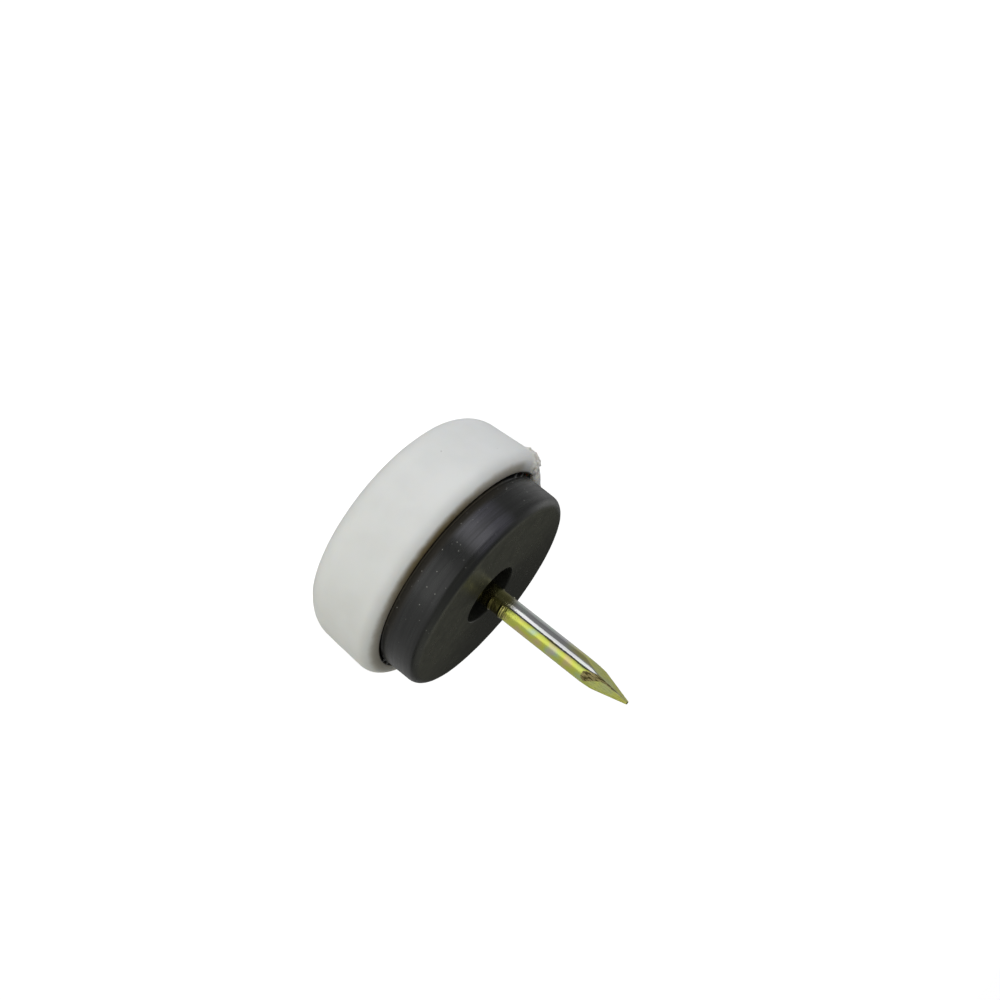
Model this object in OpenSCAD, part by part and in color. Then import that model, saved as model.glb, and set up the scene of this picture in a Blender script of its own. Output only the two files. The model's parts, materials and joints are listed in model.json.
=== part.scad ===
// Nail-on furniture glide. A moulded cap slides on the floor, a rubber cushion
// held in the cap bears on the end of the leg, and a wire nail is driven into
// the leg. The nail lies on Z with its point up, the gliding face is on z = 0,
// and all lengths are millimetres.

/* [Cap] */
// Diameter of the cap across the rim, its widest part
cap_d = 25; // [24:0.5:32]
// Height of the cap from the gliding face to the top of the rim
cap_h = 8.6; // [7.8:0.1:9.8]
// Lean of the side wall away from the axis, in degrees
cap_draft = 4; // [0:0.5:6]
// Radius of the rolled edge round the gliding face
glide_edge_r = 3; // [1:0.1:3.4]
// Thickness of the floor behind the gliding face
floor_t = 2.6; // [1.8:0.1:3.4]
// Width of the rim from its widest point to the mouth
rim_w = 1.7; // [1.65:0.05:2.4]
// Radius of the rim on its outer side
rim_r = 1.4; // [0.6:0.1:1.4]
// Radius of the rim on its inner side, at the mouth
mouth_edge_r = 0.2; // [0.1:0.05:0.25]
// Height of the hook under the rim that holds the cushion
hook_h = 1.8; // [1.2:0.1:2.6]
// Reach of the hook over the flange of the cushion
hook_reach = 0.35; // [0.2:0.05:0.45]
// Diameter of the boss that carries the nail head
boss_d = 8; // [6.8:0.1:12]
// Radius where the floor runs into the wall and the boss
root_r = 0.5; // [0.2:0.1:0.8]

/* [Cushion] */
// Height of the cushion above the rim of the cap
cushion_proud = 3.6; // [2.4:0.1:4.6]
// Radius of the outer edge of the bearing face
cushion_edge_r = 1; // [0.4:0.1:1.8]
// Gap between the cushion and the mouth of the cap
mouth_gap = 0.25; // [0.15:0.05:0.4]
// Gap round the parts of the cushion that are hidden in the cap
seat_gap = 0.1; // [0.05:0.05:0.2]
// Diameter of the recess round the nail
recess_d = 6.2; // [5:0.1:8]
// Depth of the recess round the nail
recess_depth = 1.4; // [0.8:0.1:2]
// Thickness of the rubber between the recess and the nail head
web_t = 2.3; // [1.8:0.1:2.8]

/* [Nail] */
// Diameter of the shank
nail_d = 2.25; // [1.8:0.05:2.6]
// Length of the nail from the underside of its head to the point
nail_l = 20; // [16:0.5:30]
// Diameter of the head
head_d = 6; // [5:0.1:6.4]
// Thickness of the head
head_t = 0.9; // [0.6:0.1:1.2]
// Radius round the rim of the head
head_edge_r = 0.25; // [0.1:0.05:0.28]
// Length of the four cut faces of the point
point_l = 4.8; // [3:0.1:6]
// Width of the blunt end of the point
tip_w = 0.25; // [0.1:0.05:0.4]
// Gap between the shank and the rubber it passes through
shank_gap = 0.05; // [0.05:0.05:0.15]
// Number of gripper marks on the shank
grip_count = 3; // [1:1:5]
// Distance between gripper marks
grip_pitch = 1.25; // [0.8:0.05:1.6]
// Distance from the floor of the recess to the first gripper mark
grip_start = 0.95; // [0.3:0.05:1.5]
// Height of a gripper mark above the shank
grip_rise = 0.08; // [0.04:0.01:0.14]
// Length of a gripper mark along the nail
grip_w = 0.5; // [0.3:0.05:0.55]

/* [Hidden] */
$fn = 96;

// Overlap that keeps a cut clear of the face it passes through
cut = 1;

cap_r = cap_d / 2;
mouth_r = cap_r - rim_w;
cavity_r = mouth_r + hook_reach;
hook_z = cap_h - hook_h;

cushion_r = mouth_r - mouth_gap;
flange_r = cavity_r - seat_gap;
// Bevel under the cushion that clears the fillets of the cap
sole_bevel = root_r + seat_gap;
cushion_top = cap_h + cushion_proud;
recess_floor = cushion_top - recess_depth;

boss_r = boss_d / 2;
nail_r = nail_d / 2;
head_r = head_d / 2;
head_under = recess_floor - web_t;
head_seat = head_under - head_t;
nail_tip = head_under + nail_l;
point_start = nail_tip - point_l;
point_lean = atan2(nail_r - tip_w / 2, point_l);

// Radius of a circle that shows grip_w of chord when it rises by grip_rise
grip_r = (grip_w * grip_w / 4 + grip_rise * grip_rise) / (2 * grip_rise);

// Fills the hollow corner at p, toward the given x and z signs, to a radius
module corner_fillet(p, sx, sz, r)
    translate(p)
        mirror([sx < 0 ? 1 : 0, 0])
            mirror([0, sz < 0 ? 1 : 0])
                difference() {
                    square(r);
                    translate([r, r]) circle(r);
                }

// Half section of the cap's outside. The wall is tangent to both rolled edges.
module cap_outline() {
    rim_c = [cap_r - rim_r, cap_h - rim_r];
    wall_normal = [cos(cap_draft), -sin(cap_draft)];
    edge_x = (rim_c * wall_normal + rim_r - glide_edge_r + glide_edge_r * sin(cap_draft)) / cos(cap_draft);
    edge_c = [edge_x, glide_edge_r];
    polygon([
        [0, 0],
        [edge_c.x, 0],
        edge_c + glide_edge_r * wall_normal,
        rim_c + rim_r * wall_normal,
        [rim_c.x, cap_h],
        [0, cap_h],
    ]);
    translate(edge_c) circle(glide_edge_r);
    translate(rim_c) circle(rim_r);
}

// Half section of the hollow in the cap, with the hook under its mouth
module cavity_outline() {
    difference() {
        polygon([
            [boss_r, floor_t],
            [cavity_r, floor_t],
            [cavity_r, hook_z - hook_reach],
            [mouth_r, hook_z],
            [mouth_r, cap_h + cut],
            [0, cap_h + cut],
            [0, head_seat],
            [boss_r, head_seat],
        ]);
        corner_fillet([cavity_r, floor_t], -1, 1, root_r);
        corner_fillet([boss_r, floor_t], 1, 1, root_r);
    }
    translate([mouth_r, cap_h - mouth_edge_r])
        difference() {
            square([mouth_edge_r, mouth_edge_r + cut]);
            translate([mouth_edge_r, 0]) circle(mouth_edge_r);
        }
}

// Half section of the cushion's outside, with the flange that the hook holds
module cushion_outline() {
    flange_top = hook_z - hook_reach - seat_gap;
    shoulder = flange_r - cushion_r;
    polygon([
        [0, floor_t],
        [flange_r - sole_bevel, floor_t],
        [flange_r, floor_t + sole_bevel],
        [flange_r, flange_top],
        [cushion_r, flange_top + shoulder],
        [cushion_r, cushion_top - cushion_edge_r],
        [cushion_r - cushion_edge_r, cushion_top],
        [0, cushion_top],
    ]);
    translate([cushion_r - cushion_edge_r, cushion_top - cushion_edge_r])
        circle(cushion_edge_r);
}

// Half section of what is cut out of the cushion: the socket for the boss, the
// pocket for the nail head, the hole for the shank and the recess round it
module socket_outline() {
    socket_r = boss_r + seat_gap;
    square([socket_r, head_seat]);
    polygon([
        [0, floor_t - cut],
        [socket_r + sole_bevel + cut, floor_t - cut],
        [socket_r, floor_t + sole_bevel],
        [0, floor_t + sole_bevel],
    ]);
    square([head_r + seat_gap, head_under]);
    square([nail_r + shank_gap, cushion_top]);
    translate([0, recess_floor]) square([recess_d / 2, recess_depth + cut]);
}

// Half section of the flat head
module head_outline() {
    translate([0, head_seat]) square([head_r - head_edge_r, head_t]);
    translate([0, head_seat + head_edge_r]) square([head_r, head_t - 2 * head_edge_r]);
    for (z = [head_seat + head_edge_r, head_under - head_edge_r])
        translate([head_r - head_edge_r, z]) circle(head_edge_r);
}

// Ridges raised round the shank by the gripping dies
module grip_marks()
    rotate_extrude()
        for (i = [0 : grip_count - 1])
            translate([nail_r + grip_rise - grip_r, recess_floor + grip_start + i * grip_pitch])
                intersection() {
                    circle(grip_r);
                    translate([0, -grip_w]) square([grip_r, 2 * grip_w]);
                }

// Takes away what lies outside the four flat faces of the point
module point_cuts()
    for (turn = [0 : 90 : 270])
        rotate([0, 0, turn])
            translate([nail_r, 0, point_start])
                rotate([0, -point_lean, 0])
                    translate([0, -nail_d, -cut])
                        cube([nail_d, 2 * nail_d, point_l + 3 * cut]);

module cap()
    color([0.90, 0.91, 0.89])
        rotate_extrude()
            difference() {
                cap_outline();
                cavity_outline();
            }

module cushion()
    color([0.17, 0.17, 0.18])
        rotate_extrude()
            difference() {
                cushion_outline();
                socket_outline();
            }

module nail()
    color([0.80, 0.74, 0.38])
        union() {
            rotate_extrude() head_outline();
            difference() {
                translate([0, 0, head_seat]) cylinder(r = nail_r, h = nail_tip - head_seat);
                point_cuts();
            }
            grip_marks();
        }

cap();
cushion();
nail();
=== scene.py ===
"""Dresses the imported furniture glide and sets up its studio.

Three pieces stand for the three CAD nodes: the moulded cap with the torn gate
mark on its rim, the rubber cushion with its ragged flash, and the plated nail
with its cut point. Shapes are worked out in millimetres and made in metres.
Angles round the glide are in degrees from +X, and the photographed side is at
VIEW_SIDE.
"""
import json
import math

import bpy
from mathutils import Matrix, Vector, noise


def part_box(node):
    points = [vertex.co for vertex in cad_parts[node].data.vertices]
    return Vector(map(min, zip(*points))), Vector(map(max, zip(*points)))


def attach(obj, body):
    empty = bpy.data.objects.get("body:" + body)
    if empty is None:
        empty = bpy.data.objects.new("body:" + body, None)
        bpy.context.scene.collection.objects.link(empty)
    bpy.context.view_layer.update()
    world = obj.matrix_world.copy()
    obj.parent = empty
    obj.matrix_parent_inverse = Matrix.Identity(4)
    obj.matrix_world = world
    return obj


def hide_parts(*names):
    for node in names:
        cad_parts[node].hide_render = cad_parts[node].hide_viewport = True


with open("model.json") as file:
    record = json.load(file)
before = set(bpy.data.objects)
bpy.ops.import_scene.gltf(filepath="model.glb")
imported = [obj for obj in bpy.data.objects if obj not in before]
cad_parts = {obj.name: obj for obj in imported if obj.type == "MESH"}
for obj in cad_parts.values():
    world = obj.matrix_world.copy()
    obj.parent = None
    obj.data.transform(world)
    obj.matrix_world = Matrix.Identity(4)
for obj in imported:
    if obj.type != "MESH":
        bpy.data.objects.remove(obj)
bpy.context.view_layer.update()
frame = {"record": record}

MM = 0.001


def highest(node):
    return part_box(node)[1] / MM


def lowest(node):
    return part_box(node)[0] / MM


# ---------------------------------------------------------------- sizes

# From the frame
CAP_R = highest("cap").x
CAP_H = highest("cap").z
FLOOR_T = lowest("cushion").z
FLANGE_R = highest("cushion").x
CUSHION_TOP = highest("cushion").z
HEAD_R = highest("nail").x
HEAD_SEAT = lowest("nail").z
NAIL_TIP = highest("nail").z
NAIL_R = frame["record"]["mounts"][0]["dims"]["r_mm"]

# The cap
CAP_DRAFT = math.radians(4)
GLIDE_EDGE_R = 3.0
RIM_W = 1.7
RIM_R = 1.4
MOUTH_EDGE_R = 0.2
HOOK_H = 1.8
HOOK_REACH = 0.35
BOSS_R = 4.0
ROOT_R = 0.5
MOUTH_R = CAP_R - RIM_W
CAVITY_R = MOUTH_R + HOOK_REACH
HOOK_Z = CAP_H - HOOK_H

# The cushion
MOUTH_GAP = 0.25
SEAT_GAP = 0.1
SHANK_GAP = 0.05
CUSHION_EDGE_R = 1.0
RECESS_R = 3.1
RECESS_DEPTH = 1.4
WEB_T = 2.3
SOLE_BEVEL = ROOT_R + SEAT_GAP
CUSHION_R = MOUTH_R - MOUTH_GAP
RECESS_FLOOR = CUSHION_TOP - RECESS_DEPTH
HEAD_UNDER = RECESS_FLOOR - WEB_T

# The nail
HEAD_EDGE_R = 0.25
POINT_L = 4.8
TIP_HALF = 0.125
POINT_START = NAIL_TIP - POINT_L
# How far the four cut faces are turned round the axis, in degrees, and how much
# sooner than the other two the faces at the sides start
POINT_TURN = 7
SIDE_CUT_SOONER = 0.5
GRIP_COUNT = 3
GRIP_PITCH = 1.25
GRIP_START = 0.95
GRIP_RISE = 0.08
GRIP_W = 0.34
GRIP_LAST = RECESS_FLOOR + GRIP_START + (GRIP_COUNT - 1) * GRIP_PITCH
# The side of the cushion where a purple sheen is painted
SHEEN_SIDE = 227
# The cut face of the point that is stained
STAIN_SIDE = 270 + POINT_TURN
# Where a painted reflection of the nail runs over the face of the cushion to the nail
NAIL_REFLECTION_SIDE = 256
# The height of the mauve blush on the plating
BLUSH_Z = 20.3
# The two sides that the gripping dies marked, and how far round each mark runs and
# fades out, in degrees
GRIP_SIDES = (120, 300)
GRIP_SPREAD = 48
GRIP_FADE = 12

# The photographed side, and what lies at its left and right hand
VIEW_SIDE = 252
LEFT_HAND = VIEW_SIDE + 90

# How far the cap sits to the right of the cushion and the nail
CAP_ASIDE = 0.12
# The torn gate mark on the rim of the cap
GATE_SIDE = 160
GATE_SPREAD = 12
# How far the tear stands out, at each number of degrees from its middle
GATE_TEAR = (
    (-28, 0.0), (-22, -0.26), (-2.5, -0.36), (0.5, 0.24), (3, 0.10), (6, 0.16), (9.5, 0.24), (12, 0.0),
)
# How far below the widest part of the rim it runs out
TEAR_DOWN = 0.7
# Its shreds: how far each runs round, in degrees, and down, and their depth
SHRED_ROUND = 8.0
SHRED_DOWN = 0.26
SHRED_DEPTH = 0.20
# Places where the flash on the cushion is torn into teeth: side and half width
FLASH_TEETH = ((187, 2.0), (180, 1.4), (335, 1.6), (342, 1.8))
# How far the teeth stand out, and the least that the flash does elsewhere
TOOTH_REACH = 0.26
FLASH_LEAST = 0.02
# The height of the flash on the side of the cushion, and its thickness
FLASH_Z = CAP_H + 0.07
FLASH_T = 0.06
# The face of the cushion stands a little proud, and askew: higher on the photographed side
FACE_RISE = 0.20
FACE_TILT = 0.39
# It is let down a little, so that its unevenness stays inside the CAD box
FACE_SINK = 0.03

# Unevenness as (depth, scale) of long swells and of short ripples. Depths are in mm,
# but the tear wanders in degrees.
CAP_WAVES = ((0.035, 0.16), (0.012, 0.7))
CUSHION_WAVES = ((0.03, 0.25), (0.008, 1.2))
FLASH_WAVES = ((0.07, 1.2), (0.04, 4.5))
TOOTH_WAVES = ((0.4, 2.6),)
NAIL_WAVES = ((0.006, 0.8),)
TEAR_WANDER = ((0.8, 1.6),)
TEAR_GRAIN = ((0.12, 3.4),)

# Radius of corners that are left nearly sharp
SHARP_R = 0.03
RUBBER_SHARP_R = 0.05
FLASH_ROOT_R = 0.01
RECESS_EDGE_R = 0.12
RECESS_ROOT_R = 0.1

# Length of a mesh step along each outline, and the number of steps round the axis
CAP_STEP = 0.25
RIM_STEP = 0.12
RUBBER_STEP = 0.2
NAIL_STEP = 0.07
HIDDEN_CAP_STEP = 0.8
HIDDEN_RUBBER_STEP = 0.6
CAP_SIDES = 300
CUSHION_SIDES = 420
NAIL_SIDES = 144
# Finer steps round the tear and round the teeth, in degrees
TEAR_TURN = 0.25
TOOTH_TURN = 0.35
# How far the fine mesh of the cushion runs down out of sight
SHOWN_DOWN = 0.4


# ---------------------------------------------------------------- outlines

def rounded(corners, step):
    """Points a step apart along straight runs whose corners are rounded.

    corners is a list of (r, z, radius); the first and last keep their place.
    """
    ends = [Vector(corners[0][:2])]
    for before, corner, after in zip(corners, corners[1:], corners[2:]):
        p = Vector(corner[:2])
        if corner[2] == 0:
            ends.append(p)
            continue
        back = (Vector(before[:2]) - p).normalized()
        ahead = (Vector(after[:2]) - p).normalized()
        turn = math.pi - back.angle(ahead)
        reach = corner[2] * math.tan(turn / 2)
        bisector = (back + ahead).normalized()
        centre = p + bisector * (corner[2] / math.cos(turn / 2))
        start = p + back * reach - centre
        finish = p + ahead * reach - centre
        count = max(3, math.ceil(turn * corner[2] / step))
        ends += [centre + start.slerp(finish, i / count) * corner[2] for i in range(count + 1)]
    ends.append(Vector(corners[-1][:2]))
    points = [ends[0]]
    for a, b in zip(ends, ends[1:]):
        count = max(1, math.ceil((b - a).length / step))
        points += [a.lerp(b, i / count) for i in range(1, count + 1)]
    return points


def turns(count, *windows):
    """Angles round the axis, with more of them in each window of (side, half width, step)."""
    angles = {round(360 * i / count, 3) for i in range(count)}
    for side, half, step in windows:
        steps = math.ceil(half / step)
        angles |= {round((side + step * i) % 360, 3) for i in range(-steps, steps + 1)}
    kept = []
    for angle in sorted(angles):
        if not kept or angle - kept[-1] > 0.05:
            kept.append(angle)
    return kept


def revolve(name, outline, angles, shape, ring=False):
    """A closed mesh turned from an outline of (r, z) points.

    shape(r, z, angle) gives each point its own radius and height. A ring's outline
    closes on itself; any other starts and ends on the axis.
    """
    inner = outline if ring else outline[1:-1]
    verts = []
    for r, z in inner:
        for angle in angles:
            own_r, own_z = shape(r, z, angle)
            a = math.radians(angle)
            verts.append((own_r * math.cos(a) * MM, own_r * math.sin(a) * MM, own_z * MM))
    across = len(angles)
    rows = len(inner)
    faces = []
    for i in range(rows if ring else rows - 1):
        for j in range(across):
            k = (j + 1) % across
            low, high = i * across, (i + 1) % rows * across
            faces.append((low + j, low + k, high + k, high + j))
    if not ring:
        first, last = len(verts), len(verts) + 1
        verts += [(0, 0, outline[0][1] * MM), (0, 0, outline[-1][1] * MM)]
        top = (rows - 1) * across
        for j in range(across):
            k = (j + 1) % across
            faces.append((first, k, j))
            faces.append((last, top + j, top + k))
    mesh = bpy.data.meshes.new(name)
    mesh.from_pydata(verts, [], faces)
    mesh.polygons.foreach_set("use_smooth", [True] * len(faces))
    mesh.update()
    piece = bpy.data.objects.new(name, mesh)
    bpy.context.scene.collection.objects.link(piece)
    return piece


def rough(x, y, z, scale):
    """Smooth noise from -1 to 1 at a point in mm, with features about 1 / scale mm wide."""
    return noise.noise(Vector((x, y, z)) * scale)


def waves(x, y, z, table):
    """The sum of smooth noises, one for each row of (depth, scale)."""
    return sum(depth * rough(x, y, z, scale) for depth, scale in table)


def fade(value, start, finish):
    """0 at start, 1 at finish, and a smooth step between."""
    t = min(1, max(0, (value - start) / (finish - start)))
    return t * t * (3 - 2 * t)


def turn_between(angle, side):
    """How many degrees apart two sides are, either way round."""
    return abs((angle - side + 180) % 360 - 180)


# ---------------------------------------------------------------- materials

class Graph:
    """Adds shader nodes to a tree. Each call returns the node's first output."""

    def __init__(self, tree):
        self.tree = tree
        tree.nodes.clear()

    def node(self, kind, inputs=None, **settings):
        made = self.tree.nodes.new("ShaderNode" + kind)
        for key, value in settings.items():
            setattr(made, key, value)
        for key, value in (inputs or {}).items():
            if isinstance(value, bpy.types.NodeSocket):
                self.tree.links.new(value, made.inputs[key])
            else:
                made.inputs[key].default_value = value
        return made

    def math(self, operation, a, b=0.0, c=0.0):
        return self.node("Math", {0: a, 1: b, 2: c}, operation=operation).outputs[0]

    def times(self, first, *others):
        """The product of masks and numbers."""
        for other in others:
            first = self.math("MULTIPLY", first, other)
        return first

    def step(self, value, start, finish, low=0.0, high=1.0):
        """A smooth step from low at start to high at finish."""
        made = self.node(
            "MapRange",
            {"Value": value, "From Min": start, "From Max": finish, "To Min": low, "To Max": high},
            interpolation_type="SMOOTHSTEP",
        )
        return made.outputs[0]

    def mix(self, factor, a, b, blend="MIX"):
        made = self.node("Mix", {"Factor": factor}, data_type="RGBA", blend_type=blend)
        for key, value in ((6, a), (7, b)):
            if isinstance(value, bpy.types.NodeSocket):
                self.tree.links.new(value, made.inputs[key])
            else:
                made.inputs[key].default_value = (*value, 1)
        return made.outputs[2]

    def ramp(self, factor, stops):
        made = self.node("ValToRGB", {"Fac": factor})
        elements = made.color_ramp.elements
        while len(elements) < len(stops):
            elements.new(0.5)
        for element, (place, colour) in zip(elements, stops):
            element.position = place
            element.color = (*colour, 1)
        return made.outputs[0]

    def noise(self, place, scale, detail=2.0, roughness=0.5):
        made = self.node(
            "TexNoise",
            {"Vector": place, "Scale": scale, "Detail": detail, "Roughness": roughness},
        )
        return made.outputs[0]

    def specks(self, place, scale, size, share):
        """1 on small round specks, with about the given share of the cells holding one."""
        cells = self.node("TexVoronoi", {"Vector": place, "Scale": scale})
        chosen = self.node("SeparateColor", {"Color": cells.outputs["Color"]}).outputs[0]
        dot = self.step(cells.outputs["Distance"], size, size * 0.6)
        return self.times(dot, self.math("LESS_THAN", chosen, share))

    def stretched(self, place, factors):
        return self.node("VectorMath", {0: place, 1: factors}, operation="MULTIPLY").outputs[0]

    def bump(self, height, depth, under=None):
        """A bump whose full height is depth mm."""
        inputs = {"Height": height, "Distance": depth * MM, "Strength": 1.0}
        if under is not None:
            inputs["Normal"] = under
        return self.node("Bump", inputs).outputs[0]


class Surface(Graph):
    """A material's tree, with the place on the object in mm, in plain and in round terms."""

    def __init__(self, name):
        self.material = bpy.data.materials.new(name)
        self.material.use_nodes = True
        super().__init__(self.material.node_tree)
        metres = self.node("TexCoord").outputs["Object"]
        scaled = self.node("VectorMath", {0: metres, "Scale": 1 / MM}, operation="SCALE")
        self.place = scaled.outputs[0]
        xyz = self.node("SeparateXYZ", {0: self.place}).outputs
        self.x, self.y, self.z = xyz[0], xyz[1], xyz[2]
        flat = self.node("CombineXYZ", {0: self.x, 1: self.y}).outputs[0]
        self.r = self.node("VectorMath", {0: flat}, operation="LENGTH").outputs["Value"]

    def toward(self, side):
        """The cosine of the angle between a point's side of the axis and the given side."""
        a = math.radians(side)
        along = self.node(
            "VectorMath",
            {0: self.place, 1: (math.cos(a), math.sin(a), 0)},
            operation="DOT_PRODUCT",
        ).outputs["Value"]
        return self.math("DIVIDE", along, self.math("MAXIMUM", self.r, 0.01))

    def streaks(self, across, along):
        """A place stretched round the axis: across cells per mm of r and z, along per radian."""
        angle = self.math("ARCTAN2", self.y, self.x)
        parts = {
            0: self.times(self.r, across),
            1: self.times(self.z, across),
            2: self.times(angle, along),
        }
        return self.node("CombineXYZ", parts).outputs[0]

    def finish(self, colour, roughness, normal, **settings):
        """The finished material. Other shader inputs are named with _ for a space."""
        inputs = {"Base Color": colour, "Roughness": roughness, "Normal": normal}
        inputs.update({key.replace("_", " "): value for key, value in settings.items()})
        shader = self.node("BsdfPrincipled", inputs, distribution="GGX")
        self.node("OutputMaterial", {"Surface": shader.outputs[0]})
        return self.material


# Colours are in linear light. Two in a pair are the ends that noise mixes between.
PLASTIC = ((0.715, 0.725, 0.715), (0.750, 0.760, 0.752))
# Painted brown shade for the lip round the mouth
PAINTED_LIP_SHADE = ((0.24, 0.20, 0.10), (0.19, 0.14, 0.08))
# Painted shade for the gap round the cushion
GAP_SHADE = (0.035, 0.032, 0.026)
TORN_GATE = (0.760, 0.752, 0.705)
CAP_DIRT = (0.14, 0.13, 0.11)


def lip_shade_mask(s, left, own_r):
    """1 on the lip round the mouth, where brown shade is painted, and 0 at the gate."""
    wavy_z = s.math("MULTIPLY_ADD", s.noise(s.place, 1.2, 2.0), 0.16, s.z)
    return s.times(
        s.step(wavy_z, CAP_H - 0.36, CAP_H + 0.06),
        s.step(own_r, MOUTH_R - 0.15, MOUTH_R - 0.05),
        s.step(left, -0.75, -0.20, 0.62, 1.0),
        s.step(left, 0.1, 0.9, 1.0, 0.60),
        s.step(s.toward(VIEW_SIDE), -0.7, 0.2, 0.25, 1.0),
        s.step(s.toward(GATE_SIDE), 0.975, 0.90),
    )


def white_plastic():
    s = Surface("white_plastic")
    left = s.toward(LEFT_HAND)
    # Radius about the axis of the cap, which sits aside
    own_r = s.math("MULTIPLY_ADD", left, CAP_ASIDE, s.r)
    cloud = s.noise(s.place, 0.22, 3.0)
    colour = s.mix(s.step(cloud, 0.35, 0.65), *PLASTIC)
    # Painted brown shade on the lip round the mouth, beside the rubber
    lip_shade_colour = s.mix(s.noise(s.place, 2.5, 2.0), *PAINTED_LIP_SHADE)
    colour = s.mix(lip_shade_mask(s, left, own_r), colour, lip_shade_colour)
    # Painted shade in the gap round the cushion, which shows less on the right
    shade_edge_r = s.step(left, -0.4, 1.0, MOUTH_R + 0.03, MOUTH_R + 0.19)
    grime_and_shade = s.times(
        s.step(s.math("SUBTRACT", own_r, shade_edge_r), 0.03, -0.03),
        s.step(s.z, HOOK_Z, HOOK_Z + 0.2),
    )
    colour = s.mix(grime_and_shade, colour, GAP_SHADE)
    # The torn gate is cream
    torn = s.times(s.step(s.toward(GATE_SIDE), 0.960, 0.990), s.step(s.z, CAP_H - 2.0, CAP_H - 1.4))
    colour = s.mix(torn, colour, TORN_GATE)
    # Specks of dirt, a few of them dark and the smaller ones faint
    faint = s.times(s.specks(s.place, 0.9, 0.07, 0.05), 0.5)
    dirt = s.math("MAXIMUM", s.specks(s.place, 0.33, 0.045, 0.09), faint)
    colour = s.mix(dirt, colour, CAP_DIRT)
    skin = s.bump(s.noise(s.place, 0.8, 3.0), 0.02)
    skin = s.bump(s.noise(s.place, 4.0, 4.0, 0.6), 0.004, skin)
    roughness = s.step(s.noise(s.place, 0.5, 3.0), 0.3, 0.7, 0.42, 0.55)
    return s.finish(
        colour, roughness, skin,
        IOR=1.5, Subsurface_Weight=0.3, Subsurface_Radius=(1.0, 0.75, 0.5), Subsurface_Scale=0.8 * MM,
    )


RUBBER = ((0.0075, 0.0080, 0.0075), (0.0135, 0.0145, 0.0135))
# Painted dark bluish reflection on the rolled edge
PAINTED_EDGE_REFLECTION = (0.010, 0.011, 0.014)
GREY_EDGE = (0.045, 0.047, 0.042)
# Painted pale highlight at the right end of the rolled edge
PAINTED_EDGE_HIGHLIGHT = (0.150, 0.152, 0.140)
# Painted purple sheen on the cushion's side
PAINTED_PURPLE_SHEEN = (0.044, 0.043, 0.054)
# Painted light on the face of the cushion
PAINTED_FACE_LIGHT = (0.086, 0.088, 0.066)
# Painted brown shade on the foot of the cushion's side and on its flash
BROWN_FOOT_SHADE = (0.016, 0.0125, 0.006)
BROWN_FLASH_SHADE = (0.034, 0.027, 0.014)
DUST = (0.27, 0.27, 0.25)
# Painted shade for the recess
RECESS_SHADE = (0.004, 0.004, 0.003)


def face_light_mask(s, mottle):
    """Painted light: 1 on the face, less on its far side and along the painted reflection of the nail.
    """
    nail_reflection = s.times(
        s.step(s.toward(NAIL_REFLECTION_SIDE), 0.90, 0.99),
        s.step(s.r, CUSHION_R - 1.5, RECESS_R + 1.5),
    )
    return s.times(
        s.step(s.toward(VIEW_SIDE), -1.0, 0.3, 0.25, 1.0),
        s.math("MULTIPLY_ADD", nail_reflection, -0.5, 1.0),
        s.step(s.r, CUSHION_R - 0.45, CUSHION_R - 0.95),
        s.step(mottle, 0.25, 0.70, 0.55, 1.0),
    )


def dust_mask(s):
    """1 on specks of dust of two sizes, fainter in some places than in others."""
    dusty = s.step(s.noise(s.place, 0.16, 1.0), 0.42, 0.62, 0.4, 1.0)
    specks = s.math(
        "MAXIMUM",
        s.specks(s.place, 1.1, 0.075, 0.60),
        s.specks(s.place, 2.4, 0.16, 0.22),
    )
    return s.times(specks, dusty, 0.85)


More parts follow.
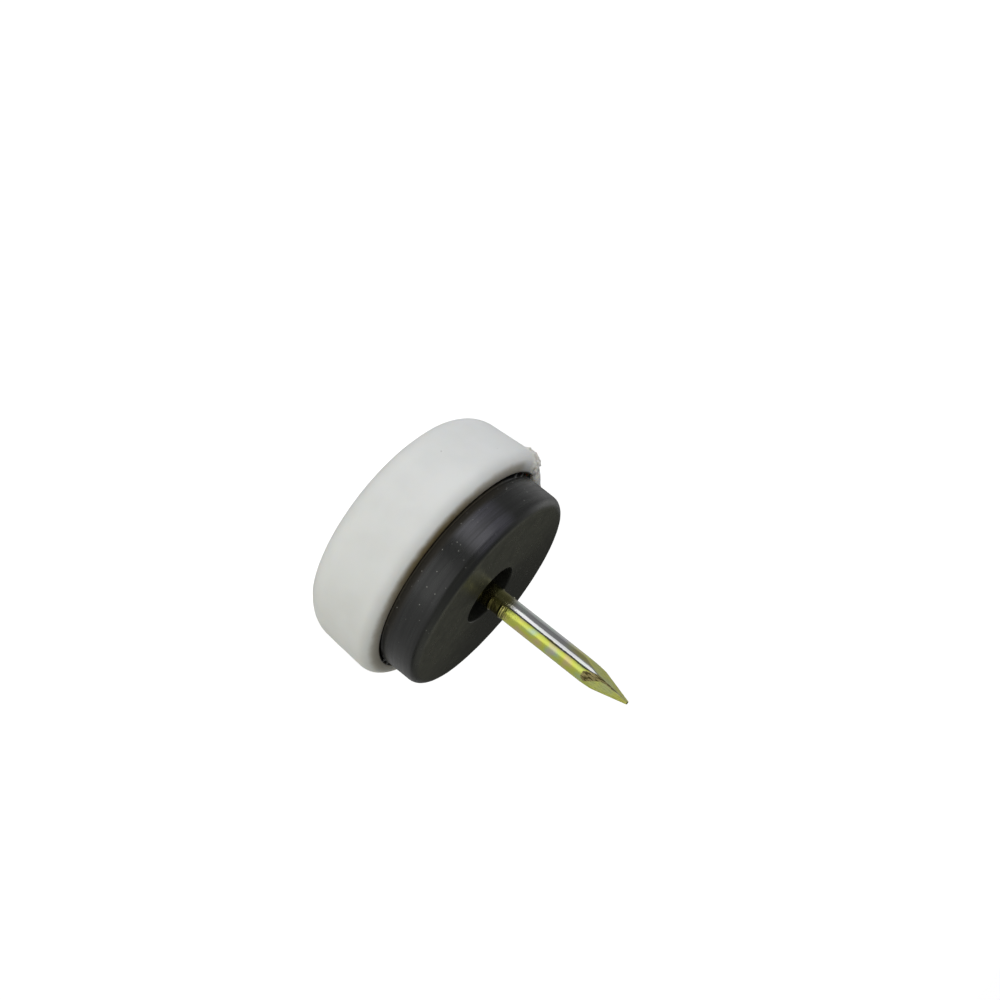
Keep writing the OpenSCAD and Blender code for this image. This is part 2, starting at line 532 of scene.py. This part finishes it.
def black_rubber():
    s = Surface("black_rubber")
    left = s.toward(LEFT_HAND)
    # The side is streaked by its mould, and the face is mottled
    on_side = s.step(s.r, CUSHION_R - 0.45, CUSHION_R - 0.15)
    streak = s.noise(s.streaks(4.0, 1.5), 1.0, 4.0, 0.6)
    mottle = s.noise(s.place, 0.8, 5.0, 0.6)
    tone = s.math("MULTIPLY_ADD", on_side, s.math("SUBTRACT", streak, mottle), mottle)
    colour = s.mix(s.step(tone, 0.35, 0.65), *RUBBER)
    # The rolled edge has a painted dark bluish reflection, is greyer toward its left end, and has a
    # painted pale highlight at its right end
    edge = s.step(s.math("ABSOLUTE", s.math("SUBTRACT", s.r, CUSHION_R - 0.5)), 0.45, 0.15)
    colour = s.mix(s.times(edge, 0.7), colour, PAINTED_EDGE_REFLECTION)
    colour = s.mix(s.times(edge, s.step(left, -0.2, 0.9, 0.15, 0.8)), colour, GREY_EDGE)
    colour = s.mix(s.times(edge, s.step(left, -0.75, -0.97, 0.0, 0.6)), colour, PAINTED_EDGE_HIGHLIGHT)
    # A painted purple sheen on the side
    painted_sheen = s.times(
        on_side,
        s.step(s.toward(SHEEN_SIDE), 0.955, 1.0),
        s.step(streak, 0.30, 0.60, 0.35, 1.0),
    )
    colour = s.mix(painted_sheen, colour, PAINTED_PURPLE_SHEEN)
    # Painted light on the face, brighter toward VIEW_SIDE and halved along the painted reflection of the
    # nail
    colour = s.mix(face_light_mask(s, mottle), colour, PAINTED_FACE_LIGHT)
    # The foot of the side and the flash get painted brown shade, the reflection of the shaded lip beside
    # them
    foot = s.times(s.step(s.z, CAP_H + 1.05, CAP_H + 0.45), s.step(s.toward(VIEW_SIDE), 0.5, 0.8))
    colour = s.mix(foot, colour, BROWN_FOOT_SHADE)
    shaded_flash = s.times(foot, s.step(s.r, CUSHION_R + 0.02, CUSHION_R + 0.08))
    colour = s.mix(shaded_flash, colour, BROWN_FLASH_SHADE)
    colour = s.mix(dust_mask(s), colour, DUST)
    # The recess is painted nearly black, as shade
    in_recess = s.step(s.r, RECESS_R + 0.1, RECESS_R - 0.1)
    colour = s.mix(in_recess, colour, RECESS_SHADE)
    skin = s.bump(s.times(on_side, streak), 0.02)
    skin = s.bump(s.noise(s.place, 2.2, 3.0, 0.6), 0.007, skin)
    plain = s.step(tone, 0.35, 0.65, 0.36, 0.27)
    dull = s.math("MAXIMUM", s.times(in_recess, 0.8), s.times(foot, 0.6))
    return s.finish(colour, s.math("MAXIMUM", plain, dull), skin, IOR=1.6)


YELLOW_PATCHES = (
    (0.20, (0.84, 0.64, 0.50)),
    (0.34, (0.86, 0.76, 0.30)),
    (0.45, (0.82, 0.86, 0.15)),
    (0.53, (0.76, 0.85, 0.18)),
    (0.62, (0.66, 0.82, 0.36)),
    (0.70, (0.60, 0.76, 0.56)),
)
SILVER_PATCHES = (
    (0.32, (0.78, 0.77, 0.82)),
    (0.50, (0.82, 0.83, 0.83)),
    (0.62, (0.74, 0.86, 0.78)),
)
DRAWN_LINES = (0.34, 0.36, 0.34)
MAUVE_BLUSH = (0.84, 0.62, 0.60)
OLIVE_CUT = ((0.50, 0.50, 0.13), (0.72, 0.72, 0.18))
BROWN_STAIN = (0.52, 0.44, 0.19)
DARK_STAIN = (0.12, 0.10, 0.035)
GOLD_FOOT = (0.66, 0.62, 0.20)
DARK_SCORES = (0.16, 0.14, 0.05)
# Grime with painted dark reflection of the rubber, at the foot of the shank
NAIL_GRIME_AND_SHADE = (0.10, 0.085, 0.03)


def plating(s, patch, drawn, wander, toward_point):
    """The plating of the shank: yellow on the left, silver on the right."""
    silver = s.ramp(patch, SILVER_PATCHES)
    silver = s.mix(s.math("MULTIPLY_ADD", drawn, -0.45, 0.45), silver, DRAWN_LINES)
    yellowed = s.step(s.math("ADD", s.toward(LEFT_HAND - 6), wander), -0.08, 0.08)
    # Toward the point, the far right is yellow too
    late = s.times(
        s.step(toward_point, POINT_START - 3.5, POINT_START - 1.0, 0.0, 0.75),
        s.step(s.toward(LEFT_HAND), -0.42, -0.60),
    )
    yellowed = s.math("MAXIMUM", yellowed, late)
    colour = s.mix(yellowed, silver, s.ramp(patch, YELLOW_PATCHES))
    # A mauve blush across the shank
    blush = s.step(s.math("ABSOLUTE", s.math("SUBTRACT", toward_point, BLUSH_Z)), 0.55, 0.15)
    return s.mix(s.times(yellowed, 0.4, blush), colour, MAUVE_BLUSH)


def stain_mask(s, wander):
    """1 on the stained cut face below the highlight, narrower toward the tip."""
    past_start = s.math("SUBTRACT", s.z, POINT_START)
    inward = s.math("SUBTRACT", NAIL_R, s.times(s.r, s.toward(STAIN_SIDE)))
    lean = (NAIL_R - TIP_HALF) / POINT_L
    off_face = s.math("ABSOLUTE", s.math("MULTIPLY_ADD", past_start, -lean, inward))
    reach = s.step(past_start, 0.3, 2.4, 0.85, -0.15)
    return s.times(
        s.step(s.math("SUBTRACT", s.math("ADD", s.toward(LEFT_HAND), wander), reach), 0.08, -0.08),
        s.step(s.toward(STAIN_SIDE), 0.70, 0.74),
        s.step(off_face, 0.05, 0.02),
        s.step(past_start, 0.0, 0.15),
        s.step(s.z, NAIL_TIP - 1.0, NAIL_TIP - 2.0),
    )


def plated_steel():
    s = Surface("plated_steel")
    left = s.toward(LEFT_HAND)
    # Patches of passivation, a little longer along the nail than across it
    patch = s.noise(s.stretched(s.place, (1.0, 1.0, 0.8)), 0.75, 1.5, 0.45)
    # Fine lines left by the drawing die
    drawn = s.step(s.noise(s.stretched(s.place, (9.0, 9.0, 0.12)), 1.0, 3.0, 0.6), 0.36, 0.60)
    # Edges of patches and stains wander
    wander = s.math("MULTIPLY_ADD", s.noise(s.place, 0.8, 2.0), 0.3, -0.15)
    toward_point = s.math("MULTIPLY_ADD", wander, 6.0, s.z)
    colour = plating(s, patch, drawn, wander, toward_point)
    # Olive on the cut faces
    cut = s.times(
        s.step(s.r, NAIL_R - 0.005, NAIL_R - 0.06, 0.0, 0.7),
        s.step(s.z, POINT_START - 0.6, POINT_START - 0.4),
    )
    colour = s.mix(cut, colour, s.mix(drawn, *OLIVE_CUT))
    # Brown stain with dark streaks
    stain = stain_mask(s, wander)
    colour = s.mix(stain, colour, BROWN_STAIN)
    colour = s.mix(s.times(stain, s.step(drawn, 0.6, 0.3)), colour, DARK_STAIN)
    # Gold at the foot of the silver side
    gold = s.times(s.step(toward_point, CUSHION_TOP + 3.0, CUSHION_TOP + 2.0), 0.8)
    colour = s.mix(gold, colour, GOLD_FOOT)
    # Dark scores in the gripper marks, and grime near the cushion with a painted dark reflection of the
    # rubber in it, reaching higher on the left
    scores = s.noise(s.streaks(9.0, 1.2), 1.0, 3.0, 0.6)
    scored = s.times(
        s.step(s.z, GRIP_LAST + 0.8, GRIP_LAST - 0.6),
        s.step(left, -0.5, 0.1, 0.3, 1.0),
        s.step(scores, 0.45, 0.62, 0.0, 0.6),
    )
    colour = s.mix(scored, colour, DARK_SCORES)
    dark_top = s.math("MULTIPLY_ADD", left, 1.2, CUSHION_TOP + 1.2)
    grime_and_shade = s.times(
        s.step(s.math("ADD", s.math("SUBTRACT", dark_top, s.z), wander), -0.25, 0.35),
        s.step(scores, 0.30, 0.55, 0.6, 1.0),
    )
    colour = s.mix(grime_and_shade, colour, NAIL_GRIME_AND_SHADE)
    skin = s.bump(scores, 0.006)
    skin = s.bump(s.noise(s.place, 5.0, 3.0), 0.004, skin)
    polish = s.step(patch, 0.3, 0.7, 0.08, 0.15)
    roughness = s.math("MULTIPLY_ADD", s.math("MAXIMUM", grime_and_shade, stain), 0.2, polish)
    return s.finish(colour, roughness, skin, Metallic=1.0)


# ---------------------------------------------------------------- pieces

def between(value, table):
    """The value in the second column of a table, between its rows in a straight line."""
    for (a, low), (b, high) in zip(table, table[1:]):
        if a <= value <= b:
            return low + (high - low) * (value - a) / (b - a)
    return 0.0


def gate_tear(x, y, z, angle):
    """How far the torn gate mark moves the surface of the rim outwards, in mm."""
    off = (angle - GATE_SIDE + 180) % 360 - 180 + waves(x, y, z, TEAR_WANDER)
    tear = between(off, GATE_TEAR)
    shreds = noise.cell(Vector((off / SHRED_ROUND, z / SHRED_DOWN, 0))) - 0.5
    ragged = waves(x, y, z, TEAR_GRAIN) + SHRED_DEPTH * shreds
    tear += ragged * fade(abs(off), GATE_SPREAD, GATE_SPREAD - 3)
    return tear * fade(z, CAP_H - RIM_R - TEAR_DOWN, CAP_H - RIM_R + 0.1)


def cap_shape(r, z, angle):
    """The cap sits a little aside, its skin is uneven, and its rim is torn at the gate."""
    # The hollow stays round the cushion
    if r < CAVITY_R + 0.02 and FLOOR_T - 0.01 < z < HOOK_Z + 0.01:
        return r, z
    aside = -CAP_ASIDE * math.cos(math.radians(angle - LEFT_HAND))
    # The gliding face stays flat, and the mouth smooth
    if z < 0.02:
        return r + aside * fade(r, 0, MOUTH_R), z
    if r < MOUTH_R + 0.02:
        return r + aside * fade(z, HOOK_Z, CAP_H - 0.6), z
    # The skin moves outwards on the wall and more upwards on the rim
    a = math.radians(angle)
    x, y = r * math.cos(a), r * math.sin(a)
    move = waves(x, y, z, CAP_WAVES) * fade(z, 0.0, 1.5) + gate_tear(x, y, z, angle)
    lift = fade(z, CAP_H - 1.0, CAP_H)
    return r + aside + move * (1 - 0.6 * lift), z + move * 0.8 * lift


def make_cap():
    widest_z = CAP_H - RIM_R
    slope = math.tan(CAP_DRAFT)
    foot_r = CAP_R - RIM_R * (1 - math.cos(CAP_DRAFT)) + slope * (RIM_R * math.sin(CAP_DRAFT) - widest_z)
    mid_wall = (foot_r + CAP_H / 2 * slope, CAP_H / 2, 0)
    mid_mouth = (MOUTH_R, (HOOK_Z + CAP_H) / 2, 0)
    body = rounded([(0, 0, 0), (foot_r, 0, GLIDE_EDGE_R), mid_wall], CAP_STEP)
    rim = rounded([
        mid_wall,
        (foot_r + CAP_H * slope, CAP_H, RIM_R),
        (MOUTH_R, CAP_H, MOUTH_EDGE_R),
        mid_mouth,
    ], RIM_STEP)
    hidden = rounded([
        mid_mouth,
        (MOUTH_R, HOOK_Z, SHARP_R),
        (CAVITY_R, HOOK_Z - HOOK_REACH, SHARP_R),
        (CAVITY_R, FLOOR_T, ROOT_R),
        (BOSS_R, FLOOR_T, ROOT_R),
        (BOSS_R, HEAD_SEAT, SHARP_R),
        (0, HEAD_SEAT, 0),
    ], HIDDEN_CAP_STEP)
    angles = turns(CAP_SIDES, (GATE_SIDE, GATE_SPREAD + 2, TEAR_TURN))
    piece = revolve("moulded_cap", body + rim[1:] + hidden[1:], angles, cap_shape)
    piece.data.materials.append(white_plastic())
    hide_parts("cap")
    return piece


def flash_reach(angle):
    """How far the moulding flash stands out of the cushion, in mm."""
    a = math.radians(angle)
    x, y = CUSHION_R * math.cos(a), CUSHION_R * math.sin(a)
    near = math.cos(a - math.radians(VIEW_SIDE))
    # It fills the gap round the middle of the photographed side
    reach = FLASH_LEAST + (MOUTH_GAP + FLASH_LEAST) * fade(near, 0.25, 0.75)
    reach += waves(x, y, 0, FLASH_WAVES)
    for side, half in FLASH_TEETH:
        inside = fade(turn_between(angle, side), half, half * 0.6)
        reach += inside * (TOOTH_REACH + waves(x, y, 7, TOOTH_WAVES))
    return max(0.0, reach)


def cushion_shape(r, z, angle):
    """The rubber is a little uneven where it shows, and flash stands out of its side."""
    a = math.radians(angle)
    x, y = r * math.cos(a), r * math.sin(a)
    if abs(z - FLASH_Z) < 0.01 and r > RECESS_R + 1:
        return r + flash_reach(angle), z + 0.02 * rough(x, y, 3, 1.5)
    shown = fade(z, CAP_H + 0.3, CAP_H + 1.0)
    move = shown * waves(x, y, z, CUSHION_WAVES)
    on_face = fade(z, CUSHION_TOP - 0.9, CUSHION_TOP) * fade(r, RECESS_R - 0.2, RECESS_R + 0.5)
    near = math.cos(a - math.radians(VIEW_SIDE))
    rise_start = RECESS_FLOOR + 0.2 if r < RECESS_R + 0.01 else CAP_H + 0.5
    rise = (FACE_RISE + FACE_TILT * near * r / CUSHION_R) * fade(z, rise_start, CUSHION_TOP - 0.2)
    return r + move * (1 - on_face), z + (move - FACE_SINK) * on_face + rise


def make_cushion():
    shoulder = FLANGE_R - CUSHION_R
    flange_top = HOOK_Z - HOOK_REACH - SEAT_GAP
    socket_r = BOSS_R + SEAT_GAP
    pocket_r = HEAD_R + SEAT_GAP
    hole_r = NAIL_R + SHANK_GAP
    foot = (CUSHION_R, CAP_H - SHOWN_DOWN, 0)
    below_recess = (hole_r, RECESS_FLOOR - SHOWN_DOWN, 0)
    flange = rounded([
        (socket_r + 2 * SOLE_BEVEL, FLOOR_T, 0),
        (FLANGE_R - SOLE_BEVEL, FLOOR_T, RUBBER_SHARP_R),
        (FLANGE_R, FLOOR_T + SOLE_BEVEL, RUBBER_SHARP_R),
        (FLANGE_R, flange_top, RUBBER_SHARP_R),
        (CUSHION_R, flange_top + shoulder, RUBBER_SHARP_R),
        foot,
    ], HIDDEN_RUBBER_STEP)
    shown = rounded([
        foot,
        (CUSHION_R, FLASH_Z - FLASH_T, FLASH_ROOT_R),
        (CUSHION_R + 0.01, FLASH_Z, 0),
        (CUSHION_R, FLASH_Z + FLASH_T, FLASH_ROOT_R),
        (CUSHION_R, CUSHION_TOP, CUSHION_EDGE_R),
        (RECESS_R, CUSHION_TOP, RECESS_EDGE_R),
        (RECESS_R, RECESS_FLOOR, RECESS_ROOT_R),
        (hole_r, RECESS_FLOOR, RUBBER_SHARP_R),
        below_recess,
    ], RUBBER_STEP)
    socket = rounded([
        below_recess,
        (hole_r, HEAD_UNDER, 0.02),
        (pocket_r, HEAD_UNDER, RUBBER_SHARP_R),
        (pocket_r, HEAD_SEAT, RUBBER_SHARP_R),
        (socket_r, HEAD_SEAT, RUBBER_SHARP_R),
        (socket_r, FLOOR_T + SOLE_BEVEL, RUBBER_SHARP_R),
        (socket_r + SOLE_BEVEL, FLOOR_T, 0),
    ], HIDDEN_RUBBER_STEP)
    windows = [(side, half + 1, TOOTH_TURN) for side, half in FLASH_TEETH]
    outline = flange + shown[1:] + socket[1:]
    angles = turns(CUSHION_SIDES, *windows)
    piece = revolve("rubber_cushion", outline, angles, cushion_shape, ring=True)
    piece.data.materials.append(black_rubber())
    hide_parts("cushion")
    return piece


def nail_shape(r, z, angle):
    """The shank inside the four flats of the point, with gripper marks on two sides."""
    if r > NAIL_R + 0.01 or z < HEAD_UNDER + 0.05:
        return r, z
    a = math.radians(angle)
    marked = max(
        fade(turn_between(angle, side), GRIP_SPREAD, GRIP_SPREAD - GRIP_FADE)
        for side in GRIP_SIDES
    )
    rise = 0.0
    for i in range(GRIP_COUNT):
        off = abs(z - RECESS_FLOOR - GRIP_START - i * GRIP_PITCH) / (GRIP_W / 2)
        rise = max(rise, GRIP_RISE * (1 - off * off))
    full = r + marked * rise + waves(4 * a, 0, z, NAIL_WAVES)
    # A smooth least of the round shank and the four flats, which breaks the edges
    # between them a little
    sharpness = 50
    closeness = (r / NAIL_R / full) ** sharpness
    for k in range(4):
        toward = math.cos(a - math.radians(90 * k + POINT_TURN))
        length = POINT_L + SIDE_CUT_SOONER * (k % 2 == 0)
        flat = TIP_HALF + (NAIL_TIP - z) / length * (NAIL_R - TIP_HALF)
        if toward > 0:
            closeness += (toward / (flat * r / NAIL_R)) ** sharpness
    return closeness ** (-1 / sharpness) * (r / NAIL_R), z


def make_nail():
    outline = rounded([
        (0, HEAD_SEAT, 0),
        (HEAD_R, HEAD_SEAT, HEAD_EDGE_R),
        (HEAD_R, HEAD_UNDER, HEAD_EDGE_R),
        (NAIL_R, HEAD_UNDER, SHARP_R),
        (NAIL_R, NAIL_TIP, 0),
        (0, NAIL_TIP, 0),
    ], NAIL_STEP)
    piece = revolve("plated_nail", outline, turns(NAIL_SIDES), nail_shape)
    piece.data.materials.append(plated_steel())
    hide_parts("nail")
    return piece


# ---------------------------------------------------------------- studio

# The camera's lens, its place in degrees and mm about a point on the axis, and its aim
CAMERA_LENS = 91.8
CAMERA_LIFT = 17.3
CAMERA_AWAY = 232.5
CAMERA_ROLL = 127.74
ORBIT_HEIGHT = 8.0
AIM_SIDEWAYS = -7.34
AIM_HEIGHT = 7.49

# The lamp's place in degrees and mm, its width in metres and its power in watts
LAMP_SIDE = VIEW_SIDE - 20
LAMP_LIFT = 6
LAMP_AWAY = 300
LAMP_AIM_HEIGHT = 8
LAMP_WIDTH = 0.25
LAMP_POWER = 0.20

# The white sheet on the floor: half its width in metres, its colour and its glow
SHEET_HALF = 1.5
SHEET_GREY = 0.8
SHEET_GLOW = 0.76


def direction(side, lift=0.0):
    """A vector of length 1 toward a side, raised by lift degrees."""
    a, e = math.radians(side), math.radians(lift)
    return Vector((math.cos(a) * math.cos(e), math.sin(a) * math.cos(e), math.sin(e)))


def facing(place, aim):
    """A matrix at place, in mm, that looks at aim."""
    turn = (aim - place).to_track_quat("-Z", "Y").to_matrix().to_4x4()
    return Matrix.Translation(place * MM) @ turn


def add_camera():
    place = Vector((0, 0, ORBIT_HEIGHT)) + CAMERA_AWAY * direction(VIEW_SIDE, CAMERA_LIFT)
    aim = AIM_SIDEWAYS * direction(LEFT_HAND) + Vector((0, 0, AIM_HEIGHT))
    camera = bpy.data.objects.new("camera", bpy.data.cameras.new("camera"))
    camera.data.lens = CAMERA_LENS
    camera.data.clip_start = 0.01
    camera.matrix_world = facing(place, aim) @ Matrix.Rotation(math.radians(CAMERA_ROLL), 4, "Z")
    bpy.context.scene.collection.objects.link(camera)
    bpy.context.scene.camera = camera


def add_lamp():
    """One large soft lamp, level with the glide and a little to the right of the camera.

    Glossy rays miss it, because the screens below are all that the metal shows.
    """
    lamp = bpy.data.objects.new("soft_lamp", bpy.data.lights.new("soft_lamp", "AREA"))
    lamp.data.shape = "DISK"
    lamp.data.size = LAMP_WIDTH
    lamp.data.energy = LAMP_POWER
    place = LAMP_AWAY * direction(LAMP_SIDE, LAMP_LIFT)
    lamp.matrix_world = facing(place, Vector((0, 0, LAMP_AIM_HEIGHT)))
    lamp.visible_glossy = False
    bpy.context.scene.collection.objects.link(lamp)


# What polished metal sees round the glide: bright screens with dark gaps between them,
# as (degrees to the left of the photographed side, brightness, sine of the lift of its top)
SCREENS = (
    (-180, 0.05, 0.0), (-165, 0.12, 0.1), (-150, 0.46, 0.5), (-120, 0.38, 0.5), (-100, 0.20, 0.3),
    (-55, 0.22, 0.0), (-48, 1.10, 0.0), (-25, 1.10, 0.0), (-20, 0.05, 0.0), (-8, 0.05, 0.0),
    (1, 0.60, 0.0), (20, 0.85, 0.0), (38, 0.85, 0.1), (52, 0.42, 0.3), (90, 0.36, 0.1),
    (125, 0.36, 0.0), (155, 0.36, 0.0), (180, 0.05, 0.0),
)
# What glossy rays meet above the screens, as (sine of the lift, brightness)
ABOVE = ((0.18, 0.02), (0.27, 0.03), (0.42, 0.11), (0.65, 0.24), (0.92, 0.10))
# The soft light on the glide, as (sine of the lift, brightness)
SOFT = ((-1.0, 0.62), (-0.35, 0.88), (0.0, 0.97), (0.30, 0.84), (0.60, 0.30), (1.0, 0.16))


def make_world():
    """White for the camera, screens for glossy rays, and soft light that is lower overhead."""
    world = bpy.data.worlds.new("studio")
    world.use_nodes = True
    bpy.context.scene.world = world
    g = Graph(world.node_tree)
    x, y, lift = g.node("SeparateXYZ", {0: g.node("TexCoord").outputs["Generated"]}).outputs

    a = math.radians(VIEW_SIDE)
    ahead = g.math("ADD", g.times(x, math.cos(a)), g.times(y, math.sin(a)))
    left = g.math("SUBTRACT", g.times(y, math.cos(a)), g.times(x, math.sin(a)))
    angle = g.math("DEGREES", g.math("ARCTAN2", left, ahead))
    where = g.math("MULTIPLY_ADD", angle, 1 / 360, 0.5)
    screens = g.ramp(where, [(side / 360 + 0.5, (level,) * 3) for side, level, top in SCREENS])
    tops = g.ramp(where, [(side / 360 + 0.5, (top,) * 3) for side, level, top in SCREENS])
    above = g.ramp(lift, [(height, (level, level, 0.88 * level)) for height, level in ABOVE])
    screens = g.mix(g.step(g.math("SUBTRACT", lift, tops), -0.02, 0.22), screens, above)

    height = g.math("MULTIPLY_ADD", lift, 0.5, 0.5)
    soft = g.ramp(height, [(sine / 2 + 0.5, (level,) * 3) for sine, level in SOFT])
    tint = g.mix(g.step(left, -1.0, 1.0), (0.98, 0.99, 1.02), (0.98, 0.98, 0.90))
    soft = g.mix(1.0, soft, tint, "MULTIPLY")
    path = g.node("LightPath").outputs
    sharp = g.math("MAXIMUM", path["Is Glossy Ray"], path["Is Transmission Ray"])
    shown = g.mix(sharp, soft, screens)
    shown = g.mix(path["Is Camera Ray"], shown, (1.0, 1.0, 1.0))
    g.node("OutputWorld", {"Surface": g.node("Background", {"Color": shown}).outputs[0]})


def add_floor():
    """A white sheet that shows to the camera from above and keeps the glide's shadow."""
    mesh = bpy.data.meshes.new("floor")
    corners = [(SHEET_HALF * x, SHEET_HALF * y, 0) for x, y in ((-1, -1), (1, -1), (1, 1), (-1, 1))]
    mesh.from_pydata(corners, [], [(0, 1, 2, 3)])
    floor = bpy.data.objects.new("floor", mesh)
    bpy.context.scene.collection.objects.link(floor)
    material = bpy.data.materials.new("floor_white")
    material.use_nodes = True
    g = Graph(material.node_tree)
    paper = g.node("BsdfDiffuse", {"Color": (SHEET_GREY, SHEET_GREY, SHEET_GREY, 1)}).outputs[0]
    glow = g.node("Emission", {"Color": (1, 1, 1, 1), "Strength": SHEET_GLOW}).outputs[0]
    sheet = g.node("AddShader", {0: paper, 1: glow}).outputs[0]
    clear = g.node("BsdfTransparent").outputs[0]
    seen_from_below = g.node("NewGeometry").outputs["Backfacing"]
    surface = g.node("MixShader", {0: seen_from_below, 1: sheet, 2: clear}).outputs[0]
    g.node("OutputMaterial", {"Surface": surface})
    mesh.materials.append(material)
    floor.visible_diffuse = False
    floor.visible_glossy = False
    floor.visible_transmission = False
    floor.visible_shadow = False


for piece in (make_cap(), make_cushion(), make_nail()):
    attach(piece, "root")
add_camera()
add_lamp()
make_world()
add_floor()
bpy.context.scene.view_settings.view_transform = "Standard"
